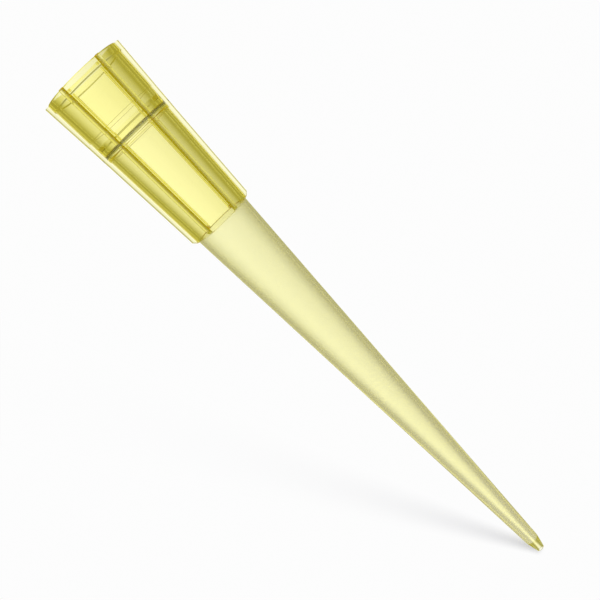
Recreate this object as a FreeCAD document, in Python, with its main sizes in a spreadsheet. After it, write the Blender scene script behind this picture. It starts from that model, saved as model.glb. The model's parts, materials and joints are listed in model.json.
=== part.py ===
import FreeCAD, Part
import Sketcher

import itertools
import math
import os

# A universal 200 microlitre pipette tip, moulded in one piece, lying on the rim of its mouth and
# on its point. All sizes are in millimetres. A "station" is a distance from the mouth, measured
# along the tip's own axis towards the point.

SIZES = (
    ("tip_length", 51.0, "mouth plane to the end of the point"),
    ("collar_length", 14.2, "mouth plane to the collar's lower end"),
    ("orifice_radius", 0.20, "straight bore at the point"),
    ("orifice_length", 1.20, "length of that straight bore"),
    ("point_wall", 0.12, "wall at the very end"),
    ("bevel_length", 1.15, "bevelled stretch at the end"),
    ("bevel_wall", 0.36, "wall where the bevel starts"),
    ("throat_wall", 0.33, "collar wall at the lower moulding ring"),
    ("body_wall", 0.235, "body wall where it leaves the collar"),
    ("collar_step", 0.12, "step from the collar in to the body"),
    ("land_radius", 2.495, "straight land of the sealing ring that grips the pipette nozzle"),
    ("land_station", 4.88, "start of that land"),
    ("land_length", 0.31, "length of that land"),
    ("ramp_height", 0.13, "height of the sealing ring above the socket"),
    ("ramp_length", 0.41, "ramp from the socket to the sealing ring's land"),
    ("back_height", 0.12, "depth of the groove below the sealing ring"),
    ("ledge_gap", 0.39, "end of the sealing ring's land to the ledge"),
    ("ledge_step", 0.09, "bore radius lost at the ledge"),
    ("slope_angle", 45.0, "slope of the ring's back and the ledge from the axis, in degrees"),
    ("joint_gap", 1.30, "joint of the bore's two tapers to the collar's end"),
    ("joint_drop", 0.345, "bore radius lost from the ledge to that joint"),
    ("socket_taper", 2.4, "half-angle of the socket above the sealing ring, in degrees"),
    ("lead_in_depth", 0.70, "funnel at the mouth, along the axis"),
    ("lead_in_flare", 0.015, "extra radius of that funnel at the mouth"),
    ("mouth_wall", 0.425, "wall at the mouth"),
    ("rim_length", 0.66, "length of the raised rim round the mouth"),
    ("rim_step", 0.085, "height of that rim above the wall, and the length of its slope"),
    ("upper_ring", 3.87, "mouth plane to the upper moulding ring"),
    ("upper_ring_wall", 0.39, "wall just above the upper moulding ring"),
    ("upper_ring_step", 0.045, "step in the outside at the upper moulding ring"),
    ("lower_ring_gap", 0.13, "end of the ledge to the lower moulding ring"),
    ("lower_ring_step", 0.065, "step in the outside at the lower moulding ring"),
    ("rib_count", 6, "ribs round the collar"),
    ("rib_thickness", 0.33, "each rib, side to side"),
    ("rib_height_mouth", 0.30, "rib above the rim at the mouth"),
    ("rib_height_ring", 0.35, "rib above the wall just below the lower moulding ring"),
    ("rib_height_end", 0.30, "rib above the wall at the collar's lower end"),
    ("rib_chamfer", 0.27, "chamfer on each rib's lower corner"),
    ("rib_rounding", 0.05, "rounding of each rib's outer edges"),
)

# Radii and stations that follow from the sizes, as expressions on the sheet.
STEEP = "tan(Sizes.slope_angle)"
RAMP_STATION = "(Sizes.land_station - Sizes.ramp_length)"
RAMP_RADIUS = "(Sizes.land_radius + Sizes.ramp_height)"
LAND_END = "(Sizes.land_station + Sizes.land_length)"
GROOVE_STATION = f"({LAND_END} + Sizes.back_height / {STEEP})"
GROOVE_RADIUS = "(Sizes.land_radius + Sizes.back_height)"
LEDGE_STATION = f"({LAND_END} + Sizes.ledge_gap)"
THROAT_STATION = f"({LEDGE_STATION} + Sizes.ledge_step / {STEEP})"
THROAT_RADIUS = f"({GROOVE_RADIUS} - Sizes.ledge_step)"
JOINT_STATION = "(Sizes.collar_length - Sizes.joint_gap)"
JOINT_RADIUS = f"({THROAT_RADIUS} - Sizes.joint_drop)"
ORIFICE_STATION = "(Sizes.tip_length - Sizes.orifice_length)"
BEVEL_STATION = "(Sizes.tip_length - Sizes.bevel_length)"
THROAT_SLOPE = f"(Sizes.joint_drop / ({JOINT_STATION} - {THROAT_STATION}))"
BODY_SLOPE = f"(({JOINT_RADIUS} - Sizes.orifice_radius) / ({ORIFICE_STATION} - {JOINT_STATION}))"

SOCKET_MOUTH = f"({RAMP_RADIUS} + {RAMP_STATION} * tan(Sizes.socket_taper))"
LEAD_IN_END = f"({SOCKET_MOUTH} - Sizes.lead_in_depth * tan(Sizes.socket_taper))"
MOUTH_BORE = f"({SOCKET_MOUTH} + Sizes.lead_in_flare)"
MOUTH_OUTSIDE = f"({MOUTH_BORE} + Sizes.mouth_wall)"
RIM_END = "(Sizes.rim_length + Sizes.rim_step)"
RIM_STEPPED = f"({MOUTH_OUTSIDE} - Sizes.rim_step)"
UPPER_RING_BORE = f"({SOCKET_MOUTH} - Sizes.upper_ring * tan(Sizes.socket_taper))"
UPPER_RING_OUTSIDE = f"({UPPER_RING_BORE} + Sizes.upper_ring_wall)"
UPPER_RING_STEPPED = f"({UPPER_RING_OUTSIDE} - Sizes.upper_ring_step)"
LOWER_RING = f"({THROAT_STATION} + Sizes.lower_ring_gap)"
LOWER_RING_BORE = f"({THROAT_RADIUS} - Sizes.lower_ring_gap * {THROAT_SLOPE})"
LOWER_RING_STEPPED = f"({LOWER_RING_BORE} + Sizes.throat_wall)"
LOWER_RING_OUTSIDE = f"({LOWER_RING_STEPPED} + Sizes.lower_ring_step)"
COLLAR_END_BORE = f"({JOINT_RADIUS} - Sizes.joint_gap * {BODY_SLOPE})"
BODY_OUTSIDE = f"({COLLAR_END_BORE} + Sizes.body_wall)"
COLLAR_END_OUTSIDE = f"({BODY_OUTSIDE} + Sizes.collar_step)"
BEVEL_OUTSIDE = "(Sizes.orifice_radius + Sizes.bevel_wall)"
POINT_OUTSIDE = "(Sizes.orifice_radius + Sizes.point_wall)"

RIB_MOUTH = f"({MOUTH_OUTSIDE} + Sizes.rib_height_mouth)"
RIB_RING = f"({LOWER_RING_STEPPED} + Sizes.rib_height_ring)"
RIB_END = f"({COLLAR_END_OUTSIDE} + Sizes.rib_height_end)"
RIB_CHAMFER_STATION = "(Sizes.collar_length - Sizes.rib_chamfer)"

# Outlines as corners: distance from the axis, station.
OUTSIDE = (
    ("0", "0"),
    (MOUTH_OUTSIDE, "0"),
    (MOUTH_OUTSIDE, "Sizes.rim_length"),
    (RIM_STEPPED, RIM_END),
    (UPPER_RING_OUTSIDE, "Sizes.upper_ring"),
    (UPPER_RING_STEPPED, "Sizes.upper_ring"),
    (LOWER_RING_OUTSIDE, LOWER_RING),
    (LOWER_RING_STEPPED, LOWER_RING),
    (COLLAR_END_OUTSIDE, "Sizes.collar_length"),
    (BODY_OUTSIDE, "Sizes.collar_length"),
    (BEVEL_OUTSIDE, BEVEL_STATION),
    (POINT_OUTSIDE, "Sizes.tip_length"),
    ("0", "Sizes.tip_length"),
)
BORE = (
    ("0", "0"),
    (MOUTH_BORE, "0"),
    (LEAD_IN_END, "Sizes.lead_in_depth"),
    (RAMP_RADIUS, RAMP_STATION),
    ("Sizes.land_radius", "Sizes.land_station"),
    ("Sizes.land_radius", LAND_END),
    (GROOVE_RADIUS, GROOVE_STATION),
    (GROOVE_RADIUS, LEDGE_STATION),
    (THROAT_RADIUS, THROAT_STATION),
    (JOINT_RADIUS, JOINT_STATION),
    ("Sizes.orifice_radius", ORIFICE_STATION),
    ("Sizes.orifice_radius", "Sizes.tip_length"),
    ("0", "Sizes.tip_length"),
)
# A rib's foot runs straight from the mouth's inner edge to the bore at the collar's end, so it is
# below the wall's outside all the way down. The bore is cut through it afterwards.
RIB = (
    (MOUTH_BORE, "0"),
    (RIB_MOUTH, "0"),
    (RIB_RING, LOWER_RING),
    (RIB_END, RIB_CHAMFER_STATION),
    (f"({RIB_END} - Sizes.rib_chamfer)", "Sizes.collar_length"),
    (COLLAR_END_BORE, "Sizes.collar_length"),
)


def make_sheet(document):
    """The driving dimensions, one row each: name, value, meaning."""
    sheet = document.addObject("Spreadsheet::Sheet", "Sizes")
    for row, (name, value, meaning) in enumerate(SIZES, start=1):
        sheet.set(f"A{row}", name)
        sheet.set(f"B{row}", str(value))
        sheet.set(f"C{row}", meaning)
        sheet.setAlias(f"B{row}", name)
    document.recompute()


def origin_feature(body, role):
    """The body's own origin plane or axis with this role."""
    return next(item for item in body.Origin.OriginFeatures if item.Role == role)


def sketch_outline(body, name, corners):
    """A closed outline in the body's XZ plane, each corner bound to the sheet."""
    sketch = body.newObject("Sketcher::SketchObject", name)
    sketch.AttachmentSupport = [(origin_feature(body, "XZ_Plane"), "")]
    sketch.MapMode = "FlatFace"
    places = [
        FreeCAD.Vector(*(float(sketch.evalExpression(text)) for text in corner), 0)
        for corner in corners
    ]
    for index, place in enumerate(places):
        sketch.addGeometry(Part.LineSegment(place, places[(index + 1) % len(places)]))
    for index in range(len(places)):
        following = (index + 1) % len(places)
        sketch.addConstraint(Sketcher.Constraint("Coincident", index, 2, following, 1))
    for index, (distance, station) in enumerate(corners):
        bind_corner(sketch, index, "DistanceX", distance, -2)
        bind_corner(sketch, index, "DistanceY", station, -1)
    return sketch


def bind_corner(sketch, index, kind, expression, axis):
    """One coordinate of a corner: on the sketch's axis where it is 0, else from the sheet."""
    if expression == "0":
        sketch.addConstraint(Sketcher.Constraint("PointOnObject", index, 1, axis))
        return
    value = float(sketch.evalExpression(expression))
    number = sketch.addConstraint(Sketcher.Constraint(kind, -1, 1, index, 1, value))
    name = f"corner{index}{kind[-1]}"
    sketch.renameConstraint(number, name)
    sketch.setExpression(f"Constraints.{name}", expression)


def turn_outline(body, kind, name, corners):
    """A Revolution or Groove of an outline, all the way round the tip's axis."""
    sketch = sketch_outline(body, f"{name}_outline", corners)
    feature = body.newObject(f"PartDesign::{kind}", name)
    feature.Profile = sketch
    feature.ReferenceAxis = (sketch, ["V_Axis"])
    feature.Angle = 360
    body.Document.recompute()
    return feature


def add_ribs(body):
    """One rib in the XZ plane, repeated evenly round the axis."""
    sketch = sketch_outline(body, "rib_outline", RIB)
    rib = body.newObject("PartDesign::Pad", "rib")
    rib.Profile = sketch
    rib.SideType = "Symmetric"
    rib.setExpression("Length", "Sizes.rib_thickness")
    body.Document.recompute()
    ribs = body.newObject("PartDesign::PolarPattern", "ribs")
    ribs.Originals = [rib]
    ribs.Axis = (origin_feature(body, "Z_Axis"), [""])
    ribs.Angle = 360
    ribs.setExpression("Occurrences", "Sizes.rib_count")
    body.Tip = ribs
    body.Document.recompute()


def round_ribs(body):
    """Rounds the two long outer edges of every rib."""
    base = body.Tip
    side = body.evalExpression("Sizes.rib_thickness / 2")
    inside = body.evalExpression(f"{RIB_END} - Sizes.rib_chamfer / 2")
    chamfer_top = body.evalExpression(RIB_CHAMFER_STATION)
    names = []
    for number, edge in enumerate(base.Shape.Edges, start=1):
        ends = [vertex.Point for vertex in edge.Vertexes]
        if len(ends) != 2 or not isinstance(edge.Curve, Part.Line):
            continue
        along = abs(ends[0].z - ends[1].z) > side
        outer = all(math.hypot(end.x, end.y) > inside for end in ends)
        above = all(end.z < chamfer_top + side / 2 for end in ends)
        if along and outer and above:
            names.append(f"Edge{number}")
    rounding = body.newObject("PartDesign::Fillet", "rib_rounding")
    rounding.Base = (base, names)
    rounding.setExpression("Radius", "Sizes.rib_rounding")
    body.Document.recompute()


def lowest_corners(body):
    """(station, depth below the axis) of the places where the lying tip could touch the floor."""
    value = body.evalExpression
    half_gap = math.radians(180 / value("Sizes.rib_count"))
    rounding = value("Sizes.rib_rounding")
    across = (value("Sizes.rib_thickness") / 2 - rounding) * math.sin(half_gap) + rounding
    ribs = ((RIB_MOUTH, "0"), (RIB_RING, LOWER_RING), (RIB_END, RIB_CHAMFER_STATION))
    walls = [(value(at), value(reach)) for reach, at in OUTSIDE]
    return walls + [
        (value(at), (value(reach) - rounding) * math.cos(half_gap) + across) for reach, at in ribs
    ]


def resting_slope(corners, balance):
    """Slope of the axis, in radians, on the two corners that carry the balance point."""
    before = [corner for corner in corners if corner[0] <= balance]
    after = [corner for corner in corners if corner[0] > balance]

    def depth_at_balance(pair):
        (near, near_depth), (far, far_depth) = pair
        return near_depth + (far_depth - near_depth) * (balance - near) / (far - near)

    carriers = max(itertools.product(before, after), key=depth_at_balance)
    (near, near_depth), (far, far_depth) = carriers
    return math.atan2(near_depth - far_depth, far - near)


def gap_turn(count):
    """The least turn about the axis, in degrees, that puts a gap between two ribs at the bottom."""
    spacing = 360 / count
    return (-90 - spacing / 2) % spacing


def lay_down(body):
    """Lays the tip along +X on its rim and its point, with its box's bottom centre at 0."""
    corners = lowest_corners(body)
    slope = resting_slope(corners, body.Shape.CenterOfGravity.z)
    towards_point = FreeCAD.Vector(math.cos(slope), 0, -math.sin(slope))
    upwards = FreeCAD.Vector(math.sin(slope), 0, math.cos(slope))
    lying = FreeCAD.Rotation(FreeCAD.Vector(0, 1, 0), upwards, towards_point, "ZXY")
    roll = gap_turn(body.evalExpression("Sizes.rib_count"))
    turn = lying * FreeCAD.Rotation(FreeCAD.Vector(0, 0, 1), roll)
    body.Placement = FreeCAD.Placement(FreeCAD.Vector(), turn)
    body.Document.recompute()
    box = body.Shape.optimalBoundingBox(False, False)
    shift = FreeCAD.Vector(-(box.XMin + box.XMax) / 2, -(box.YMin + box.YMax) / 2, -box.ZMin)
    body.Placement = FreeCAD.Placement(shift, turn)
    body.Document.recompute()


def make_tip(document):
    """The whole tip: outside, ribs, rounded rib edges, then the bore through all of it."""
    body = document.addObject("PartDesign::Body", "pipette_tip")
    body.Label = "pipette_tip"
    turn_outline(body, "Revolution", "outside", OUTSIDE)
    add_ribs(body)
    round_ribs(body)
    uncut = body.Shape.Volume
    turn_outline(body, "Groove", "bore", BORE)
    if body.Shape.Volume > uncut * 0.9:
        raise RuntimeError("the bore removed too little")
    lay_down(body)
    return body


def check(document, bodies):
    """Stops on any failed feature, or a body that isn't one valid solid."""
    for item in document.Objects:
        if {"Invalid", "Error"} & set(item.State):
            raise RuntimeError(f"{item.Name} is {item.State}")
    for body in bodies:
        shape = body.Shape
        if shape.isNull() or not shape.isValid() or len(shape.Solids) != 1:
            raise RuntimeError(f"{body.Label} isn't one valid solid")


def main():
    document = FreeCAD.newDocument("PipetteTip")
    make_sheet(document)
    bodies = [make_tip(document)]
    check(document, bodies)
    os.makedirs("parts", exist_ok=True)
    for body in bodies:
        body.Shape.exportStep(f"parts/{body.Label}.step")
        box = body.Shape.BoundBox
        print(f"{body.Label}: {box.XLength:.2f} x {box.YLength:.2f} x {box.ZLength:.2f} mm")


main()
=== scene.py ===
"""A clear yellow universal pipette tip, lying on a white table.

Laid out as a Blender add-on: the sizes and finishes are property groups, the tip and the table
with its light and camera are operators, and one panel in the sidebar lists them.
"""

import json
import math

import bmesh
import bpy
from mathutils import Matrix, Vector


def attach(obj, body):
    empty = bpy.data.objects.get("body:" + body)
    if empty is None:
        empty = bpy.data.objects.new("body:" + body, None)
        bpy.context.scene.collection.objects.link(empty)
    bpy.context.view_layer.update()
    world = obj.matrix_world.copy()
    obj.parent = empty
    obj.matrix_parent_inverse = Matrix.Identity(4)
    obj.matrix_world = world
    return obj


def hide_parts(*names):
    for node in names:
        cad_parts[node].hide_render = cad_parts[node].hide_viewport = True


bl_info = {
    "name": "Pipette Tip",
    "version": (1, 0, 0),
    "blender": (4, 5, 0),
    "location": "View3D > Sidebar > Pipette Tip",
    "description": "Models a ribbed pipette tip with its plastic, table, light and camera",
    "category": "Object",
}

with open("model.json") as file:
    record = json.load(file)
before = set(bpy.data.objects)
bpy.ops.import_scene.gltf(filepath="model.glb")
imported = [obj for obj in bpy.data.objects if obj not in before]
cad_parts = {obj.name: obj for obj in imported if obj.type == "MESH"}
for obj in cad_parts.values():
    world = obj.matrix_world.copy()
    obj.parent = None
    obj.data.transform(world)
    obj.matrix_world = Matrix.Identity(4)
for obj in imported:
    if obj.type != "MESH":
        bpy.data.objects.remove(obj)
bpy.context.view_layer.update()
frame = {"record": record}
MOUNTS = {mount["name"]: mount for mount in frame["record"]["mounts"]}
SOCKET = MOUNTS["socket"]

MILLIMETRE = 0.001

# Places closer than this, in metres, are one place.
NEAR = 1e-6
# Distances in a rib are told apart to this many decimals of a metre.
DECIMALS = 8
CUT_THRESHOLD = 1e-9
# How far a rib's top is lifted before it is brought down to its height.
LIFT = 1.0
# A rounded corner takes up to this share of the shorter side beside it.
CORNER_SHARE = 0.45
# The ring beside a rounded corner stands at this share of the room that is left there.
HOLD_SHARE = 0.8
# A corner that turns less than this stays as it is.
STRAIGHT = math.radians(0.5)
SMOOTH_ANGLE = math.radians(38)
TABLE_RADIUS = 0.6
TABLE_SIDES = 96


# ---------------------------------------------------------------- sizes and finishes


def length(name, millimetres, description):
    """A length property, given in millimetres and kept in metres."""
    return bpy.props.FloatProperty(
        name=name,
        description=description,
        default=millimetres * MILLIMETRE,
        min=0.0,
        precision=6,
        unit="LENGTH",
        subtype="DISTANCE",
    )


def angle(name, degrees, description):
    """An angle property, given in degrees and kept in radians."""
    return bpy.props.FloatProperty(
        name=name,
        description=description,
        default=math.radians(degrees),
        precision=3,
        unit="ROTATION",
        subtype="ANGLE",
    )


def factor(name, value, description, low=0.0, unit="NONE"):
    """A number that is neither a length nor an angle."""
    return bpy.props.FloatProperty(
        name=name, description=description, default=value, min=low, unit=unit
    )


def count(name, value, description):
    """A whole number."""
    return bpy.props.IntProperty(name=name, description=description, default=value, min=1)


def place(name, metres, description):
    """A place in the frame."""
    return bpy.props.FloatVectorProperty(
        name=name,
        description=description,
        default=metres,
        size=3,
        precision=3,
        unit="LENGTH",
        subtype="TRANSLATION",
    )


def colour(name, value, description):
    """A linear colour."""
    return bpy.props.FloatVectorProperty(
        name=name, description=description, default=value, size=3, subtype="COLOR", min=0, max=1
    )


class TipBore(bpy.types.PropertyGroup):
    """The bore, from the mouth to the orifice."""

    lead_in_depth: length("Lead-in depth", 0.70, "Funnel at the mouth, along the axis")
    lead_in_flare: length("Lead-in flare", 0.015, "Extra radius of that funnel at the mouth")
    taper: angle("Socket taper", 2.4, "Half-angle of the socket above the sealing ring")
    ramp_length: length("Ramp length", 0.41, "Ramp from the socket to the sealing ring")
    ramp_height: length("Ramp height", 0.13, "Height of the sealing ring above the socket")
    land_station: length("Land station", 4.88, "Mouth to the sealing ring's straight land")
    land_radius: length("Land radius", SOCKET["dims"]["r_mm"], "Radius of the sealing ring's land")
    land_length: length("Land length", SOCKET["dims"]["length_mm"], "Length of the land")
    back_height: length("Back height", 0.12, "Depth of the groove below the sealing ring")
    ledge_gap: length("Ledge gap", 0.39, "Sealing ring's land to the ledge")
    ledge_step: length("Ledge step", 0.09, "Bore radius lost at the ledge")
    slope_angle: angle("Slope angle", 45.0, "Slope of the ring's back and the ledge from the axis")
    joint_gap: length("Joint gap", 1.30, "Joint of the bore's two tapers to the collar's end")
    joint_drop: length("Joint drop", 0.345, "Bore radius lost from the ledge to that joint")
    orifice_radius: length("Orifice radius", 0.20, "Straight bore at the point")
    orifice_length: length("Orifice length", 1.20, "Length of that straight bore")


class TipOutside(bpy.types.PropertyGroup):
    """The walls outside the bore."""

    tip_length: length("Tip length", 51.0, "Mouth plane to the end of the point")
    collar_length: length("Collar length", 14.2, "Mouth plane to the collar's lower end")
    mouth_wall: length("Mouth wall", 0.425, "Wall at the mouth")
    rim_length: length("Rim length", 0.66, "Length of the raised rim round the mouth")
    rim_step: length("Rim step", 0.085, "Height of that rim above the wall")
    upper_ring: length("Upper ring station", 3.87, "Mouth to the upper moulding ring")
    upper_ring_wall: length("Upper ring wall", 0.39, "Wall just above the upper ring")
    upper_ring_step: length("Upper ring step", 0.045, "Step in at the upper moulding ring")
    lower_ring_gap: length("Lower ring gap", 0.13, "Ledge to the lower moulding ring")
    lower_ring_step: length("Lower ring step", 0.065, "Step in at the lower moulding ring")
    throat_wall: length("Throat wall", 0.33, "Collar wall at the lower ring")
    body_wall: length("Body wall", 0.235, "Body wall where it leaves the collar")
    collar_step: length("Collar step", 0.12, "Step from the collar in to the body")
    bevel_length: length("Bevel length", 1.15, "Bevelled stretch at the point")
    bevel_wall: length("Bevel wall", 0.36, "Wall where the bevel starts")
    point_wall: length("Point wall", 0.12, "Wall at the very end")


class TipRibs(bpy.types.PropertyGroup):
    """The ribs round the collar."""

    number: count("Ribs", 6, "Ribs round the collar")
    thickness: length("Thickness", 0.33, "Each rib, side to side")
    height_mouth: length("Height at mouth", 0.30, "Rib above the rim at the mouth")
    height_ring: length("Height at ring", 0.35, "Rib above the wall below the lower ring")
    height_end: length("Height at end", 0.30, "Rib above the wall at the collar's lower end")
    chamfer: length("Chamfer", 0.27, "Chamfer on each rib's lower corner")
    ring_step: length("Ring step", 0.012, "Step in each rib's top at the moulding rings")
    rounding: length("Rounding", 0.12, "Rounding of each rib's outer edges")


class TipMesh(bpy.types.PropertyGroup):
    """How finely the round surfaces are divided."""

    sector_steps: count("Sector steps", 32, "Divisions of the wall from one gap to the next")
    rounding_steps: count("Rounding steps", 4, "Divisions of each rounded edge")
    edge_rounding: length("Edge rounding", 0.05, "Rounding of the moulding's other edges")


class TipPlastic(bpy.types.PropertyGroup):
    """The plastic's colour and finish, and the shade painted on the sealing ring's back."""

    tint: colour("Tint", (0.99, 0.945, 0.02), "Colour that the plastic lets through")
    density: factor("Density", 1450.0, "How strongly a metre of plastic takes its colour")
    milk: colour("Milk", (0.965, 0.966, 0.81), "Colour that the body scatters by the collar")
    milk_point: colour("Milk at the point", (0.975, 0.976, 0.87), "The same colour at the point")
    clearness: factor("Clearness", 0.82, "Share of light that the body lets through by the collar")
    clearness_point: factor("Clearness at the point", 0.77, "The same share at the point")
    gloss: factor("Gloss roughness", 0.03, "Roughness of the polished collar and point")
    frost: factor("Frost roughness", 0.05, "Roughness of the body's frosted outside")
    index: factor("Index", 1.49, "Refractive index")
    ring_rough: factor("Ring roughness", 0.5, "Roughness of the sealing ring's back")
    # Painted shade: the ring's back gets a dark colour and lets less light through, standing in for
    # the dark band it shows.
    ring_painted_shade: colour("Ring shade", (0.30, 0.30, 0.16), "Colour of the sealing ring's back")
    ring_clearness: factor("Ring clearness", 0.5, "Share of light let through by the ring's back")
    reflections: count("Reflections", 2, "Reflections after which trapped light is let out")


class TipStage(bpy.types.PropertyGroup):
    """The camera, table and light, and the shadow painted on the table by the point."""

    lens: factor("Lens", 60.17, "Focal length on a 36 mm sensor", unit="CAMERA")
    aim_station: length("Aim station", 22.571, "Station on the tip's axis that the camera aims at")
    distance: length("Distance", 75.2, "Camera to that place on the axis")
    lean: angle("Lean", 11.51, "How far the view leans from square on, head end nearer")
    roll: angle("Roll", 45.86, "How far below level the tip runs in the view")

    white: factor("White", 0.98, "Brightness of the table and the surround to the camera")
    # Painted shadow: the grey seen inside the streak by the point, lit by the lamps.
    painted_shadow_grey: colour("Shaded table", (0.5, 0.5, 0.52), "Colour of the table inside the shadow")
    lighting: factor("Lighting table", 0.9, "How much light the table throws back on the tip")
    # The painted shadow streak's depth, turn, place, fade and width; the table's real shading shows
    # inside it.
    shadow: factor("Shadow", 0.75, "Share of the table's shading seen at the tip's point")
    shadow_turn: angle("Shadow turn", 27.0, "Between the shadow at the point and the tip's length")
    shadow_shift: length("Shadow shift", 0.25, "Middle of the shadow to the side of the point")
    shadow_fade: length("Shadow fade", 8.3, "Way along the shadow over which it loses most depth")
    shadow_width: length("Shadow width", 0.6, "Width of the shadow at the point")
    shadow_spread: factor("Shadow spread", 0.1, "How much the shadow widens along its length")

    band_shift: factor("Band shift", -0.06, "Sine of the white band's turn aside", low=-1.0)
    band_inner: factor("Band inner", 0.03, "Sine of the angle where the white band starts to dim")
    band_outer: factor("Band outer", 0.34, "Sine of the angle where the white band ends")
    head_inner: factor("Head inner", -0.20, "Sine where the band dims at the head end", low=-1.0)
    head_outer: factor("Head outer", -0.42, "Sine where the band ends at the head end", low=-1.0)
    foot_inner: factor("Foot inner", 0.6, "Sine where the band starts to dim at the point's end")
    foot_outer: factor("Foot outer", 0.85, "Sine where the band ends at the point's end")
    side_light: colour("Side light", (0.40, 0.38, 0.13), "Colour of the surround at the sides")
    level_light: factor("Level light", 0.4, "Strength of the surround level with the table")
    top_light: factor("Top light", 1.3, "Strength of the surround overhead")
    top_start: factor("Top start", 0.8, "Sine of the height from which the top light is full")

    key: place("Key lamp", (-0.21, 0.21, 0.045), "Place of the lamp that throws the shadow")
    fill: place("Fill lamp", (0.06, -0.27, 0.12), "Place of the lamp across from it")
    lamp_size: length("Lamp size", 100.0, "Side of each square lamp")
    lamp_power: factor("Lamp power", 0.3, "Power of each lamp", unit="POWER")


# ---------------------------------------------------------------- picking and shaping


def edit_mesh():
    """The mesh in edit mode."""
    return bmesh.from_edit_mesh(bpy.context.edit_object.data)


def pick(kind, test):
    """Selects only the vertices, edges or faces that pass the test."""
    bpy.ops.mesh.select_mode(type=kind)
    bpy.ops.mesh.select_all(action="DESELECT")
    mesh = edit_mesh()
    items = {"VERT": mesh.verts, "EDGE": mesh.edges, "FACE": mesh.faces}[kind]
    found = 0
    for item in items:
        if test(item):
            item.select_set(True)
            found += 1
    mesh.select_flush_mode()
    bmesh.update_edit_mesh(bpy.context.edit_object.data)
    return found


def reach(point):
    """Distance of a place from the axis."""
    return math.hypot(point.x, point.y)


def grow_ring(start, end):
    """Extrudes the selected ring from one (station, radius) to the next."""
    bpy.ops.mesh.extrude_region_move(
        TRANSFORM_OT_translate={"value": (0, 0, end[0] - start[0])}
    )
    scale = end[1] / start[1]
    bpy.ops.transform.resize(value=(scale, scale, 1), center_override=(0, 0, end[0]))


def grow_rings(stops):
    """Extrudes the selected ring through a list of (station, radius)."""
    for start, end in zip(stops, stops[1:]):
        grow_ring(start, end)


# ---------------------------------------------------------------- the tip's outline


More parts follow.
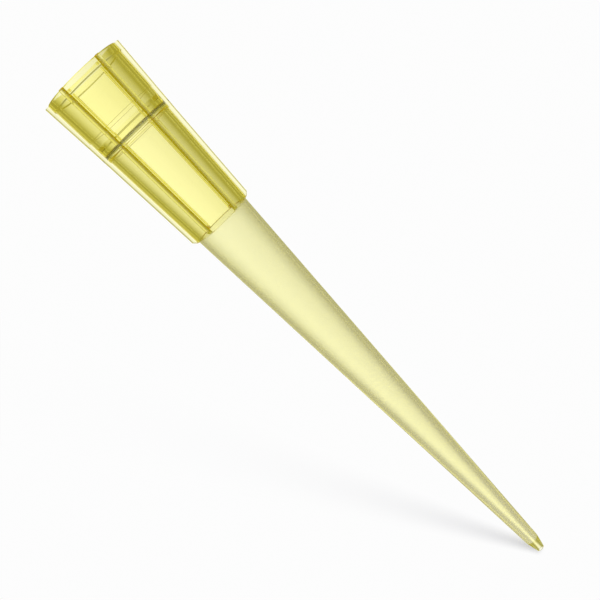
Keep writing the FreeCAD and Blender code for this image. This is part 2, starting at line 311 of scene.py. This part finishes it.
class Outline:
    """Stations along the tip's axis and the radii there, worked out from the sizes."""

    def __init__(self, scene):
        bore, outside, ribs = scene.tip_bore, scene.tip_outside, scene.tip_ribs
        slope = math.tan(bore.taper)
        steep = math.tan(bore.slope_angle)
        self.ramp = bore.land_station - bore.ramp_length
        self.ramp_radius = bore.land_radius + bore.ramp_height
        self.mouth_bore = self.ramp_radius + self.ramp * slope + bore.lead_in_flare
        self.lead_in = self.ramp_radius + (self.ramp - bore.lead_in_depth) * slope
        self.land_end = bore.land_station + bore.land_length
        self.groove = self.land_end + bore.back_height / steep
        self.groove_radius = bore.land_radius + bore.back_height
        self.ledge = self.land_end + bore.ledge_gap
        self.throat = self.ledge + bore.ledge_step / steep
        self.throat_radius = self.groove_radius - bore.ledge_step
        self.orifice = outside.tip_length - bore.orifice_length
        self.bevel = outside.tip_length - outside.bevel_length
        self.joint = outside.collar_length - bore.joint_gap
        self.joint_radius = self.throat_radius - bore.joint_drop

        self.mouth = self.mouth_bore + outside.mouth_wall
        self.rim_end = outside.rim_length + outside.rim_step
        self.upper_ring = (
            self.ramp_radius + (self.ramp - outside.upper_ring) * slope + outside.upper_ring_wall
        )
        self.lower_station = self.throat + outside.lower_ring_gap
        line = [
            (self.throat, self.throat_radius),
            (self.joint, self.joint_radius),
            (self.orifice, bore.orifice_radius),
        ]
        self.lower_ring = between(line, self.lower_station) + outside.throat_wall
        self.body_top = between(line, outside.collar_length) + outside.body_wall
        self.collar_end = self.body_top + outside.collar_step

        self.rib_mouth = self.mouth + ribs.height_mouth
        self.rib_ring = self.lower_ring + ribs.height_ring
        self.rib_end = self.collar_end + ribs.height_end
        self.chamfer_station = outside.collar_length - ribs.chamfer

    def collar_wall_at(self, station, outside):
        """Wall radius between the lower moulding ring and the collar's end."""
        share = (station - self.lower_station) / (outside.collar_length - self.lower_station)
        return self.lower_ring + share * (self.collar_end - self.lower_ring)

    def profile(self, scene):
        """The half-section's corners: down the collar's outside, then round and up the bore."""
        bore, outside = scene.tip_bore, scene.tip_outside
        collar = [
            (0.0, self.mouth),
            (outside.rim_length, self.mouth),
            (self.rim_end, self.mouth - outside.rim_step),
            (outside.upper_ring, self.upper_ring),
            (outside.upper_ring, self.upper_ring - outside.upper_ring_step),
            (self.lower_station, self.lower_ring + outside.lower_ring_step),
            (self.lower_station, self.lower_ring),
            (self.chamfer_station, self.collar_wall_at(self.chamfer_station, outside)),
            (outside.collar_length, self.collar_end),
        ]
        rest = [
            (outside.collar_length, self.body_top),
            (self.bevel, bore.orifice_radius + outside.bevel_wall),
            (outside.tip_length, bore.orifice_radius + outside.point_wall),
            (outside.tip_length, bore.orifice_radius),
            (self.orifice, bore.orifice_radius),
            (self.joint, self.joint_radius),
            (self.throat, self.throat_radius),
            (self.ledge, self.groove_radius),
            (self.groove, self.groove_radius),
            (self.land_end, bore.land_radius),
            (bore.land_station, bore.land_radius),
            (self.ramp, self.ramp_radius),
            (bore.lead_in_depth, self.lead_in),
            (0.0, self.mouth_bore),
        ]
        return collar, rest

    def rounded(self, scene):
        """The collar's outside and the rest of the skin, with round corners."""
        fine = scene.tip_mesh
        collar, rest = self.profile(scene)
        corners = collar + rest
        befores = [corners[-1], *corners[:-1]]
        afters = [*corners[1:], corners[0]]
        arcs = [
            rounded_corner(*places, fine.edge_rounding, fine.rounding_steps)
            for places in zip(befores, corners, afters)
        ]
        halves = arcs[: len(collar)], arcs[len(collar) :]
        return [[place for arc in half for place in arc] for half in halves]

    def rib_top(self, station, scene):
        """Radius of a rib's top at a station."""
        outside, ribs, fine = scene.tip_outside, scene.tip_ribs, scene.tip_mesh
        upper_share = outside.upper_ring / self.lower_station
        upper = self.rib_mouth + upper_share * (self.rib_ring - self.rib_mouth)
        edge = fine.edge_rounding
        line = [
            (0.0, self.rib_mouth),
            (outside.upper_ring - edge, upper),
            (outside.upper_ring + edge, upper - ribs.ring_step),
            (self.lower_station - edge, self.rib_ring),
            (self.lower_station + edge, self.rib_ring - ribs.ring_step),
            (self.chamfer_station, self.rib_end),
            (outside.collar_length, self.rib_end - ribs.chamfer),
        ]
        top = between(line, station)
        left = max(0.0, edge - station)
        return top - (edge - math.sqrt(max(0.0, edge * edge - left * left)))


def between(line, station):
    """The value at a station on a line of (station, value) places."""
    for (start, first), (end, last) in zip(line, line[1:]):
        if station <= end + NEAR / 10:
            return first + (last - first) * (station - start) / (end - start)
    return line[-1][1]


def rounded_corner(before, corner, after, width, steps):
    """Places on the arc that replaces a corner, starting up to this width before it."""
    middle = Vector(corner)
    back = Vector(before) - middle
    ahead = Vector(after) - middle
    cut = min(width, CORNER_SHARE * back.length, CORNER_SHARE * ahead.length)
    turn = math.pi - back.angle(ahead)
    if turn < STRAIGHT:
        return [corner]
    radius = cut / math.tan(turn / 2)
    towards_centre = (back.normalized() + ahead.normalized()).normalized()
    centre = middle + towards_centre * (radius / math.cos(turn / 2))
    first = (middle + back.normalized() * cut - centre).normalized()
    last = (middle + ahead.normalized() * cut - centre).normalized()
    arc = [centre + first.slerp(last, step / steps) * radius for step in range(steps + 1)]
    # A ring beside each end of the arc keeps the shading of the long faces straight.
    for side, place in ((back, 0), (ahead, len(arc) + 1)):
        hold = HOLD_SHARE * min(cut, 0.5 * side.length - cut)
        if hold > 2 * NEAR:
            arc.insert(place, middle + side.normalized() * (cut + hold))
    return [tuple(place) for place in arc]


# ---------------------------------------------------------------- modelling the tip


def model_sector(outline, scene, stops):
    """One rib with the collar's wall from gap to gap, the rib's middle over +Y."""
    ribs, fine = scene.tip_ribs, scene.tip_mesh
    bpy.ops.object.select_all(action="DESELECT")
    bpy.ops.mesh.primitive_circle_add(
        vertices=ribs.number * fine.sector_steps, radius=stops[0][1], enter_editmode=True
    )
    half_gap = math.pi / ribs.number + NEAR
    pick("VERT", lambda vert: abs(math.atan2(vert.co.x, vert.co.y)) > half_gap)
    bpy.ops.mesh.delete(type="VERT")
    bpy.ops.mesh.select_all(action="SELECT")
    grow_rings(stops)
    for side in rib_columns(ribs, fine):
        for place in (-side, side):
            bpy.ops.mesh.select_all(action="SELECT")
            bpy.ops.mesh.bisect(
                plane_co=(place, 0, 0), plane_no=(1, 0, 0), threshold=CUT_THRESHOLD
            )
    raise_rib(outline, scene)


def rib_columns(ribs, fine):
    """Distances from the rib's middle plane at which its rounded top is divided."""
    turns = [math.pi / 2 * step / fine.rounding_steps for step in range(fine.rounding_steps + 1)]
    flat = ribs.thickness / 2 - ribs.rounding
    return [flat + ribs.rounding * math.cos(turn) for turn in turns]


def rounding_drop(offset, ribs):
    """How far a rib's rounded top lies below its flat, at a distance from the middle plane."""
    beyond = offset - (ribs.thickness / 2 - ribs.rounding)
    if beyond <= 0:
        return 0.0
    return ribs.rounding - math.sqrt(max(0.0, ribs.rounding**2 - beyond**2))


def raise_rib(outline, scene):
    """Extrudes the strip between the outer cuts, and brings it down to the rib's rounded top."""
    ribs = scene.tip_ribs
    lifted = LIFT / 2
    same = 10**-DECIMALS
    pick("FACE", lambda face: abs(face.calc_center_median().x) < ribs.thickness / 2)
    bpy.ops.mesh.extrude_region_move(TRANSFORM_OT_translate={"value": (0, LIFT, 0)})
    raised = [vert.co for vert in edit_mesh().verts if vert.co.y > lifted]
    places = {(round(co.z, DECIMALS), round(abs(co.x), DECIMALS)) for co in raised}
    for station, offset in sorted(places):
        pick(
            "VERT",
            lambda vert: vert.co.y > lifted
            and abs(vert.co.z - station) < same
            and abs(abs(vert.co.x) - offset) < same,
        )
        height = outline.rib_top(station, scene) - rounding_drop(offset, ribs)
        bpy.ops.transform.resize(value=(1, 0, 1), center_override=(0, height, station))


def model_collar(outline, scene, stops):
    """The collar's ribbed outside: the sector copied round the axis."""
    number = scene.tip_ribs.number
    model_sector(outline, scene, stops)
    bpy.ops.mesh.select_all(action="SELECT")
    bpy.ops.mesh.spin(
        steps=number - 1,
        dupli=True,
        angle=2 * math.pi * (number - 1) / number,
        center=(0, 0, 0),
        axis=(0, 0, 1),
    )
    bpy.ops.mesh.select_all(action="SELECT")
    bpy.ops.mesh.remove_doubles(threshold=NEAR)


def model_body(scene, stops):
    """The body's outside, the point and the whole bore, as one turned skin."""
    fine, ribs = scene.tip_mesh, scene.tip_ribs
    bpy.ops.mesh.select_all(action="DESELECT")
    bpy.ops.mesh.select_mode(type="VERT")
    bpy.ops.mesh.primitive_circle_add(
        vertices=ribs.number * fine.sector_steps, radius=stops[0][1], location=(0, 0, stops[0][0])
    )
    grow_rings(stops)


def join_rings(station, inner, outer):
    """Bridges the two open rings that lie at a station."""
    pick(
        "EDGE",
        lambda edge: edge.is_boundary
        and all(abs(vert.co.z - station) < NEAR for vert in edge.verts)
        and all(inner - 10 * NEAR < reach(vert.co) < outer + 10 * NEAR for vert in edge.verts),
    )
    bpy.ops.mesh.bridge_edge_loops()


def model_tip(scene):
    """The whole moulding as one closed mesh, upright with its mouth at the origin."""
    outline = Outline(scene)
    collar, rest = outline.rounded(scene)
    model_collar(outline, scene, collar)
    model_body(scene, rest)
    join_rings(0.0, outline.mouth_bore, outline.mouth)
    join_rings(scene.tip_outside.collar_length, outline.body_top, outline.collar_end)
    bpy.ops.mesh.select_all(action="SELECT")
    bpy.ops.mesh.normals_make_consistent(inside=False)
    bpy.ops.object.mode_set(mode="OBJECT")
    tip = bpy.context.object
    tip.name = "tip_moulding"
    tip.data.name = tip.name
    return tip


def tip_directions():
    """The tip's axis towards its point, and the direction square to it that points up."""
    towards_point = -Vector(SOCKET["axis"]).normalized()
    across = Vector((0, 1, 0))
    return towards_point, towards_point.cross(across).normalized()


def mouth_centre(scene):
    """Centre of the mouth, up the axis from the middle of the sealing land."""
    bore = scene.tip_bore
    towards_point, _ = tip_directions()
    return Vector(SOCKET["pos_m"]) - towards_point * (bore.land_station + bore.land_length / 2)


def lay_down(scene):
    """Turns the upright tip on to its axis in the frame and brings its mouth to its place."""
    towards_point, _ = tip_directions()
    slope = math.atan2(towards_point.x, towards_point.z)
    bpy.ops.object.mode_set(mode="EDIT")
    bpy.ops.mesh.select_all(action="SELECT")
    bpy.ops.transform.rotate(value=-slope, orient_axis="Y", center_override=(0, 0, 0))
    bpy.ops.transform.translate(value=mouth_centre(scene))
    bpy.ops.object.mode_set(mode="OBJECT")


# ---------------------------------------------------------------- materials


def feed(tree, socket, value):
    """Links another socket to this one, or sets this one's own value."""
    if isinstance(value, bpy.types.NodeSocket):
        tree.links.new(value, socket)
    elif socket.type == "RGBA":
        socket.default_value = (*value, 1)
    else:
        socket.default_value = value


def add_node(tree, kind, inputs=(), **settings):
    """A new node with its settings, and its inputs set to values or linked from other sockets."""
    node = tree.nodes.new(kind)
    for name, value in settings.items():
        setattr(node, name, value)
    for name, value in dict(inputs).items():
        feed(tree, node.inputs[name], value)
    return node


def grey(value):
    """A colour without a hue."""
    return (value,) * 3


def math_node(tree, operation, first, second=0.0):
    """The result of one sum."""
    node = add_node(tree, "ShaderNodeMath", {0: first, 1: second}, operation=operation)
    return node.outputs["Value"]


def ramp(tree, value, start, end, low=0.0, high=1.0, smooth=True):
    """A value eased from low at start to high at end."""
    node = add_node(
        tree,
        "ShaderNodeMapRange",
        {"Value": value, "From Min": start, "From Max": end, "To Min": low, "To Max": high},
        interpolation_type="SMOOTHSTEP" if smooth else "LINEAR",
    )
    return node.outputs["Result"]


def blend(tree, share, first, second):
    """The first colour blended into the second."""
    node = add_node(tree, "ShaderNodeMix", {"Factor": share}, data_type="RGBA")
    ends = [socket for socket in node.inputs if socket.type == "RGBA"]
    for socket, value in zip(ends, (first, second)):
        feed(tree, socket, value)
    return next(socket for socket in node.outputs if socket.type == "RGBA")


def mix_value(tree, share, first, second):
    """The first number mixed into the second."""
    values = {"Factor": share, "A": first, "B": second}
    return add_node(tree, "ShaderNodeMix", values, data_type="FLOAT").outputs["Result"]


def mix_shader(tree, share, first, second):
    """The first shader mixed into the second; each is a node or its output."""
    shaders = [getattr(shader, "outputs", [shader])[0] for shader in (first, second)]
    node = add_node(tree, "ShaderNodeMixShader", {0: share, 1: shaders[0], 2: shaders[1]})
    return node.outputs["Shader"]


def tip_coordinates(tree, scene):
    """Coordinates in the tip's own upright frame: Z is the station along its axis."""
    towards_point, _ = tip_directions()
    back = Matrix.Rotation(-math.atan2(towards_point.x, towards_point.z), 3, "Y")
    lying = tree.nodes.new("ShaderNodeTexCoord").outputs["Object"]
    origin = -(back @ mouth_centre(scene))
    turn_up = {"Vector": lying, "Location": origin, "Rotation": back.to_euler()}
    return add_node(tree, "ShaderNodeMapping", turn_up).outputs["Vector"]


def station_and_radius(tree, coordinates):
    """The station along the tip's axis and the distance from it."""
    split = add_node(tree, "ShaderNodeSeparateXYZ", {"Vector": coordinates})
    sides = [split.outputs[axis] for axis in "XY"]
    squares = [math_node(tree, "MULTIPLY", side, side) for side in sides]
    return split.outputs["Z"], math_node(tree, "SQRT", math_node(tree, "ADD", *squares))


def ring_back_mask(tree, scene, station, radius):
    """1 on the back of the bore's sealing ring, where shade is painted and the finish roughened; 0
    elsewhere.
    """
    outline = Outline(scene)
    edge = 0.04 * MILLIMETRE
    last = outline.groove + 2 * edge
    start = ramp(tree, station, outline.land_end, outline.land_end + edge)
    end = ramp(tree, station, last, last + 1.5 * edge, 1.0, 0.0)
    inside = math_node(tree, "LESS_THAN", radius, outline.groove_radius + edge)
    # Light that went through plastic and comes across the bore meets it as plain plastic.
    within = tree.nodes.new("ShaderNodeNewGeometry").outputs["Backfacing"]
    passing = tree.nodes.new("ShaderNodeLightPath").outputs["Is Transmission Ray"]
    held = math_node(tree, "MAXIMUM", within, math_node(tree, "SUBTRACT", 1.0, passing))
    both = math_node(tree, "MULTIPLY", inside, held)
    return math_node(tree, "MULTIPLY", math_node(tree, "MULTIPLY", start, end), both)


def frost_mask(tree, scene, station, radius):
    """1 on the body's frosted outside, 0 on the collar, the point and in the bore."""
    bore, outside = scene.tip_bore, scene.tip_outside
    outline = Outline(scene)
    edge = 0.1 * MILLIMETRE
    below_collar = ramp(tree, station, outside.collar_length - edge, outside.collar_length)
    above_bevel = ramp(tree, station, outline.bevel - edge, outline.bevel + edge, 1.0, 0.0)
    middle_top = outline.body_top - outside.body_wall / 2
    middle_bevel = bore.orifice_radius + outside.bevel_wall / 2
    middle = ramp(
        tree, station, outside.collar_length, outline.bevel, middle_top, middle_bevel, smooth=False
    )
    on_outside = math_node(tree, "GREATER_THAN", radius, middle)
    along = math_node(tree, "MULTIPLY", below_collar, above_bevel)
    return math_node(tree, "MULTIPLY", along, on_outside)


def plastic_material(scene):
    """Clear yellow plastic, polished on the collar, the point and the bore, frosted on the body,
    with painted shade on the sealing ring's back.
    """
    plastic, outside = scene.tip_plastic, scene.tip_outside
    material = bpy.data.materials.new("tip_plastic")
    material.use_nodes = True
    tree = material.node_tree
    shader = tree.nodes["Principled BSDF"]
    station, radius = station_and_radius(tree, tip_coordinates(tree, scene))
    frost = frost_mask(tree, scene, station, radius)
    ring_back = ring_back_mask(tree, scene, station, radius)
    towards = ramp(tree, station, outside.collar_length, outside.tip_length, smooth=False)

    milk = blend(tree, towards, plastic.milk, plastic.milk_point)
    # Painted shade on the sealing ring's back: a dark colour there, and less light let through.
    base = blend(tree, ring_back, blend(tree, frost, (1, 1, 1), milk), plastic.ring_painted_shade)
    polished = ramp(tree, ring_back, 0, 1, plastic.gloss, plastic.ring_rough, smooth=False)
    roughness = mix_value(tree, frost, polished, plastic.frost)
    frosted = ramp(tree, towards, 0, 1, plastic.clearness, plastic.clearness_point, smooth=False)
    ring = ramp(tree, ring_back, 0, 1, 1.0, plastic.ring_clearness, smooth=False)
    clearness = math_node(tree, "MULTIPLY", mix_value(tree, frost, 1.0, frosted), ring)
    feed(tree, shader.inputs["Base Color"], base)
    feed(tree, shader.inputs["Roughness"], roughness)
    feed(tree, shader.inputs["Transmission Weight"], clearness)
    feed(tree, shader.inputs["IOR"], plastic.index)

    absorption = {"Color": plastic.tint, "Density": plastic.density}
    absorb = add_node(tree, "ShaderNodeVolumeAbsorption", absorption)
    output = tree.nodes["Material Output"]
    tree.links.new(release_trapped(tree, shader, plastic), output.inputs["Surface"])
    tree.links.new(absorb.outputs["Volume"], output.inputs["Volume"])
    return material


def release_trapped(tree, shader, plastic):
    """The shader, and none of it for light that the wall has thrown back too often."""
    depth = tree.nodes.new("ShaderNodeLightPath").outputs["Glossy Depth"]
    trapped = math_node(tree, "GREATER_THAN", depth, plastic.reflections + 0.5)
    clear = tree.nodes.new("ShaderNodeBsdfTransparent")
    return mix_shader(tree, trapped, shader, clear)


# ---------------------------------------------------------------- operators


class TIP_OT_moulding(bpy.types.Operator):
    """Models the pipette tip as one moulding, with its ribs, bore and point"""

    bl_idname = "tip.moulding"
    bl_label = "Pipette tip"

    def execute(self, context):
        scene = context.scene
        tip = model_tip(scene)
        lay_down(scene)
        bpy.ops.object.shade_smooth_by_angle(angle=SMOOTH_ANGLE)
        tip.data.materials.append(plastic_material(scene))
        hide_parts("pipette_tip")
        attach(tip, "root")
        return {"FINISHED"}


class TIP_OT_stage(bpy.types.Operator):
    """Sets up the table, the light and the camera that looks down on the lying tip"""

    bl_idname = "tip.stage"
    bl_label = "Table, light and camera"

    def execute(self, context):
        scene = context.scene
        place_camera(scene)
        place_table(scene)
        place_light(scene)
        return {"FINISHED"}


def place_camera(scene):
    """The camera looks down on the tip, with the mouth at the upper left."""
    stage = scene.tip_stage
    towards_point, upwards = tip_directions()
    across = Vector((0, 1, 0))
    look = towards_point * math.sin(stage.lean) - upwards * math.cos(stage.lean)
    along = towards_point * math.cos(stage.lean) + upwards * math.sin(stage.lean)
    right = along * math.cos(stage.roll) + across * math.sin(stage.roll)
    top = across * math.cos(stage.roll) - along * math.sin(stage.roll)
    data = bpy.data.cameras.new("camera")
    data.lens = stage.lens
    data.clip_start = MILLIMETRE
    camera = bpy.data.objects.new("camera", data)
    aim = mouth_centre(scene) + towards_point * stage.aim_station
    turn = Matrix((right, top, -look)).transposed()
    camera.matrix_world = Matrix.Translation(aim - look * stage.distance) @ turn.to_4x4()
    scene.collection.objects.link(camera)
    scene.camera = camera


def place_table(scene):
    """A pale table top under the tip."""
    bpy.ops.object.select_all(action="DESELECT")
    bpy.ops.mesh.primitive_circle_add(
        vertices=TABLE_SIDES, radius=TABLE_RADIUS, fill_type="NGON"
    )
    table = bpy.context.object
    table.name = "table"
    table.data.materials.append(table_material(scene))


def painted_shadow_share(tree, scene):
    """1 where the tip's point stands on the table, fading away along a painted shadow streak."""
    stage = scene.tip_stage
    point = mouth_centre(scene) + tip_directions()[0] * scene.tip_outside.tip_length
    along_shadow = add_node(
        tree,
        "ShaderNodeMapping",
        {
            "Vector": tree.nodes.new("ShaderNodeTexCoord").outputs["Object"],
            "Location": (point.x, point.y, 0),
            "Rotation": (0, 0, math.pi + stage.shadow_turn),
        },
        vector_type="TEXTURE",
    )
    split = add_node(tree, "ShaderNodeSeparateXYZ", {"Vector": along_shadow.outputs["Vector"]})
    along = split.outputs["X"]
    off_middle = math_node(tree, "SUBTRACT", split.outputs["Y"], stage.shadow_shift)
    aside = math_node(tree, "ABSOLUTE", off_middle)
    spread = math_node(tree, "MULTIPLY", along, stage.shadow_spread)
    width = math_node(tree, "ADD", spread, stage.shadow_width)
    across = ramp(tree, math_node(tree, "DIVIDE", aside, width), 0, 1, 1.0, 0.0)
    start = ramp(tree, along, -stage.shadow_width, 0)
    fade = math_node(tree, "EXPONENT", math_node(tree, "DIVIDE", along, -stage.shadow_fade))
    share = math_node(tree, "MULTIPLY", math_node(tree, "MULTIPLY", start, across), fade)
    return math_node(tree, "MULTIPLY", share, stage.shadow)


def table_material(scene):
    """A white top with a painted shadow by the point over its real shading, that lets the plastic
    show the surround.
    """
    stage = scene.tip_stage
    material = bpy.data.materials.new("table_white")
    material.use_nodes = True
    tree = material.node_tree
    rays = tree.nodes.new("ShaderNodeLightPath").outputs
    glow = {"Color": (1, 1, 1), "Strength": stage.white}
    white = add_node(tree, "ShaderNodeEmission", glow)
    painted_shadow_grey = add_node(tree, "ShaderNodeBsdfDiffuse", {"Color": stage.painted_shadow_grey})
    # Painted shadow: inside the masked streak the camera sees the grey table with its real shading.
    seen = mix_shader(tree, painted_shadow_share(tree, scene), white, painted_shadow_grey)
    lit = add_node(tree, "ShaderNodeBsdfDiffuse", {"Color": grey(stage.lighting)})
    top = mix_shader(tree, rays["Is Camera Ray"], lit, seen)
    clear = tree.nodes.new("ShaderNodeBsdfTransparent")
    inside = math_node(tree, "MAXIMUM", rays["Is Glossy Ray"], rays["Is Transmission Ray"])
    surface = mix_shader(tree, inside, top, clear)
    tree.links.new(surface, tree.nodes["Material Output"].inputs["Surface"])
    return material


def surround(scene):
    """White to the camera; to the tip, a white band below it, dim sides and a bright top."""
    stage = scene.tip_stage
    world = bpy.data.worlds.new("surround")
    world.use_nodes = True
    tree = world.node_tree
    direction = tree.nodes.new("ShaderNodeTexCoord").outputs["Generated"]
    split = add_node(tree, "ShaderNodeSeparateXYZ", {"Vector": direction})
    off_middle = math_node(tree, "SUBTRACT", split.outputs["Y"], stage.band_shift)
    sideways = math_node(tree, "ABSOLUTE", off_middle)
    across = ramp(tree, sideways, stage.band_inner, stage.band_outer, 1.0, 0.0, smooth=False)
    head = ramp(tree, split.outputs["X"], stage.head_outer, stage.head_inner)
    foot = ramp(tree, split.outputs["X"], stage.foot_inner, stage.foot_outer, 1.0, 0.0)
    band = math_node(tree, "MULTIPLY", across, math_node(tree, "MULTIPLY", head, foot))
    below = blend(tree, band, stage.side_light, (1, 1, 1))
    height = ramp(tree, split.outputs["Z"], 0.0, stage.top_start)
    above = blend(tree, height, grey(stage.level_light), grey(stage.top_light))
    down = math_node(tree, "LESS_THAN", split.outputs["Z"], 0.0)
    seen = tree.nodes.new("ShaderNodeLightPath").outputs["Is Camera Ray"]
    light = blend(tree, seen, blend(tree, down, above, below), grey(stage.white))
    tree.links.new(light, tree.nodes["Background"].inputs["Color"])
    return world


def place_light(scene):
    """The surround, a lamp for the point's shadow and a fill lamp across from it."""
    stage = scene.tip_stage
    scene.world = surround(scene)
    for name, spot in (("key", stage.key), ("fill", stage.fill)):
        data = bpy.data.lights.new(name, "AREA")
        data.size = stage.lamp_size
        data.energy = stage.lamp_power
        lamp = bpy.data.objects.new(name, data)
        lamp.location = spot
        lamp.rotation_euler = Vector(spot).to_track_quat("Z", "Y").to_euler()
        lamp.visible_glossy = False
        lamp.visible_transmission = False
        scene.collection.objects.link(lamp)
    scene.view_settings.view_transform = "Standard"


class TIP_PT_panel(bpy.types.Panel):
    """Lists the operators, and the sizes and finishes that they use"""

    bl_idname = "TIP_PT_panel"
    bl_label = "Pipette Tip"
    bl_space_type = "VIEW_3D"
    bl_region_type = "UI"
    bl_category = "Pipette Tip"

    def draw(self, context):
        for operator in OPERATORS:
            self.layout.operator(operator.bl_idname)
        for name, group in GROUPS.items():
            box = self.layout.box()
            box.label(text=group.__doc__)
            for size in group.__annotations__:
                box.prop(getattr(context.scene, name), size)


GROUPS = {
    "tip_bore": TipBore,
    "tip_outside": TipOutside,
    "tip_ribs": TipRibs,
    "tip_mesh": TipMesh,
    "tip_plastic": TipPlastic,
    "tip_stage": TipStage,
}
OPERATORS = (TIP_OT_moulding, TIP_OT_stage)


def register():
    for name, group in GROUPS.items():
        bpy.utils.register_class(group)
        setattr(bpy.types.Scene, name, bpy.props.PointerProperty(type=group))
    for item in (*OPERATORS, TIP_PT_panel):
        bpy.utils.register_class(item)


def unregister():
    for item in (TIP_PT_panel, *reversed(OPERATORS)):
        bpy.utils.unregister_class(item)
    for name, group in GROUPS.items():
        delattr(bpy.types.Scene, name)
        bpy.utils.unregister_class(group)


def main():
    """Models the tip on its table."""
    register()
    bpy.ops.tip.moulding()
    bpy.ops.tip.stage()


if __name__ == "__main__":
    main()
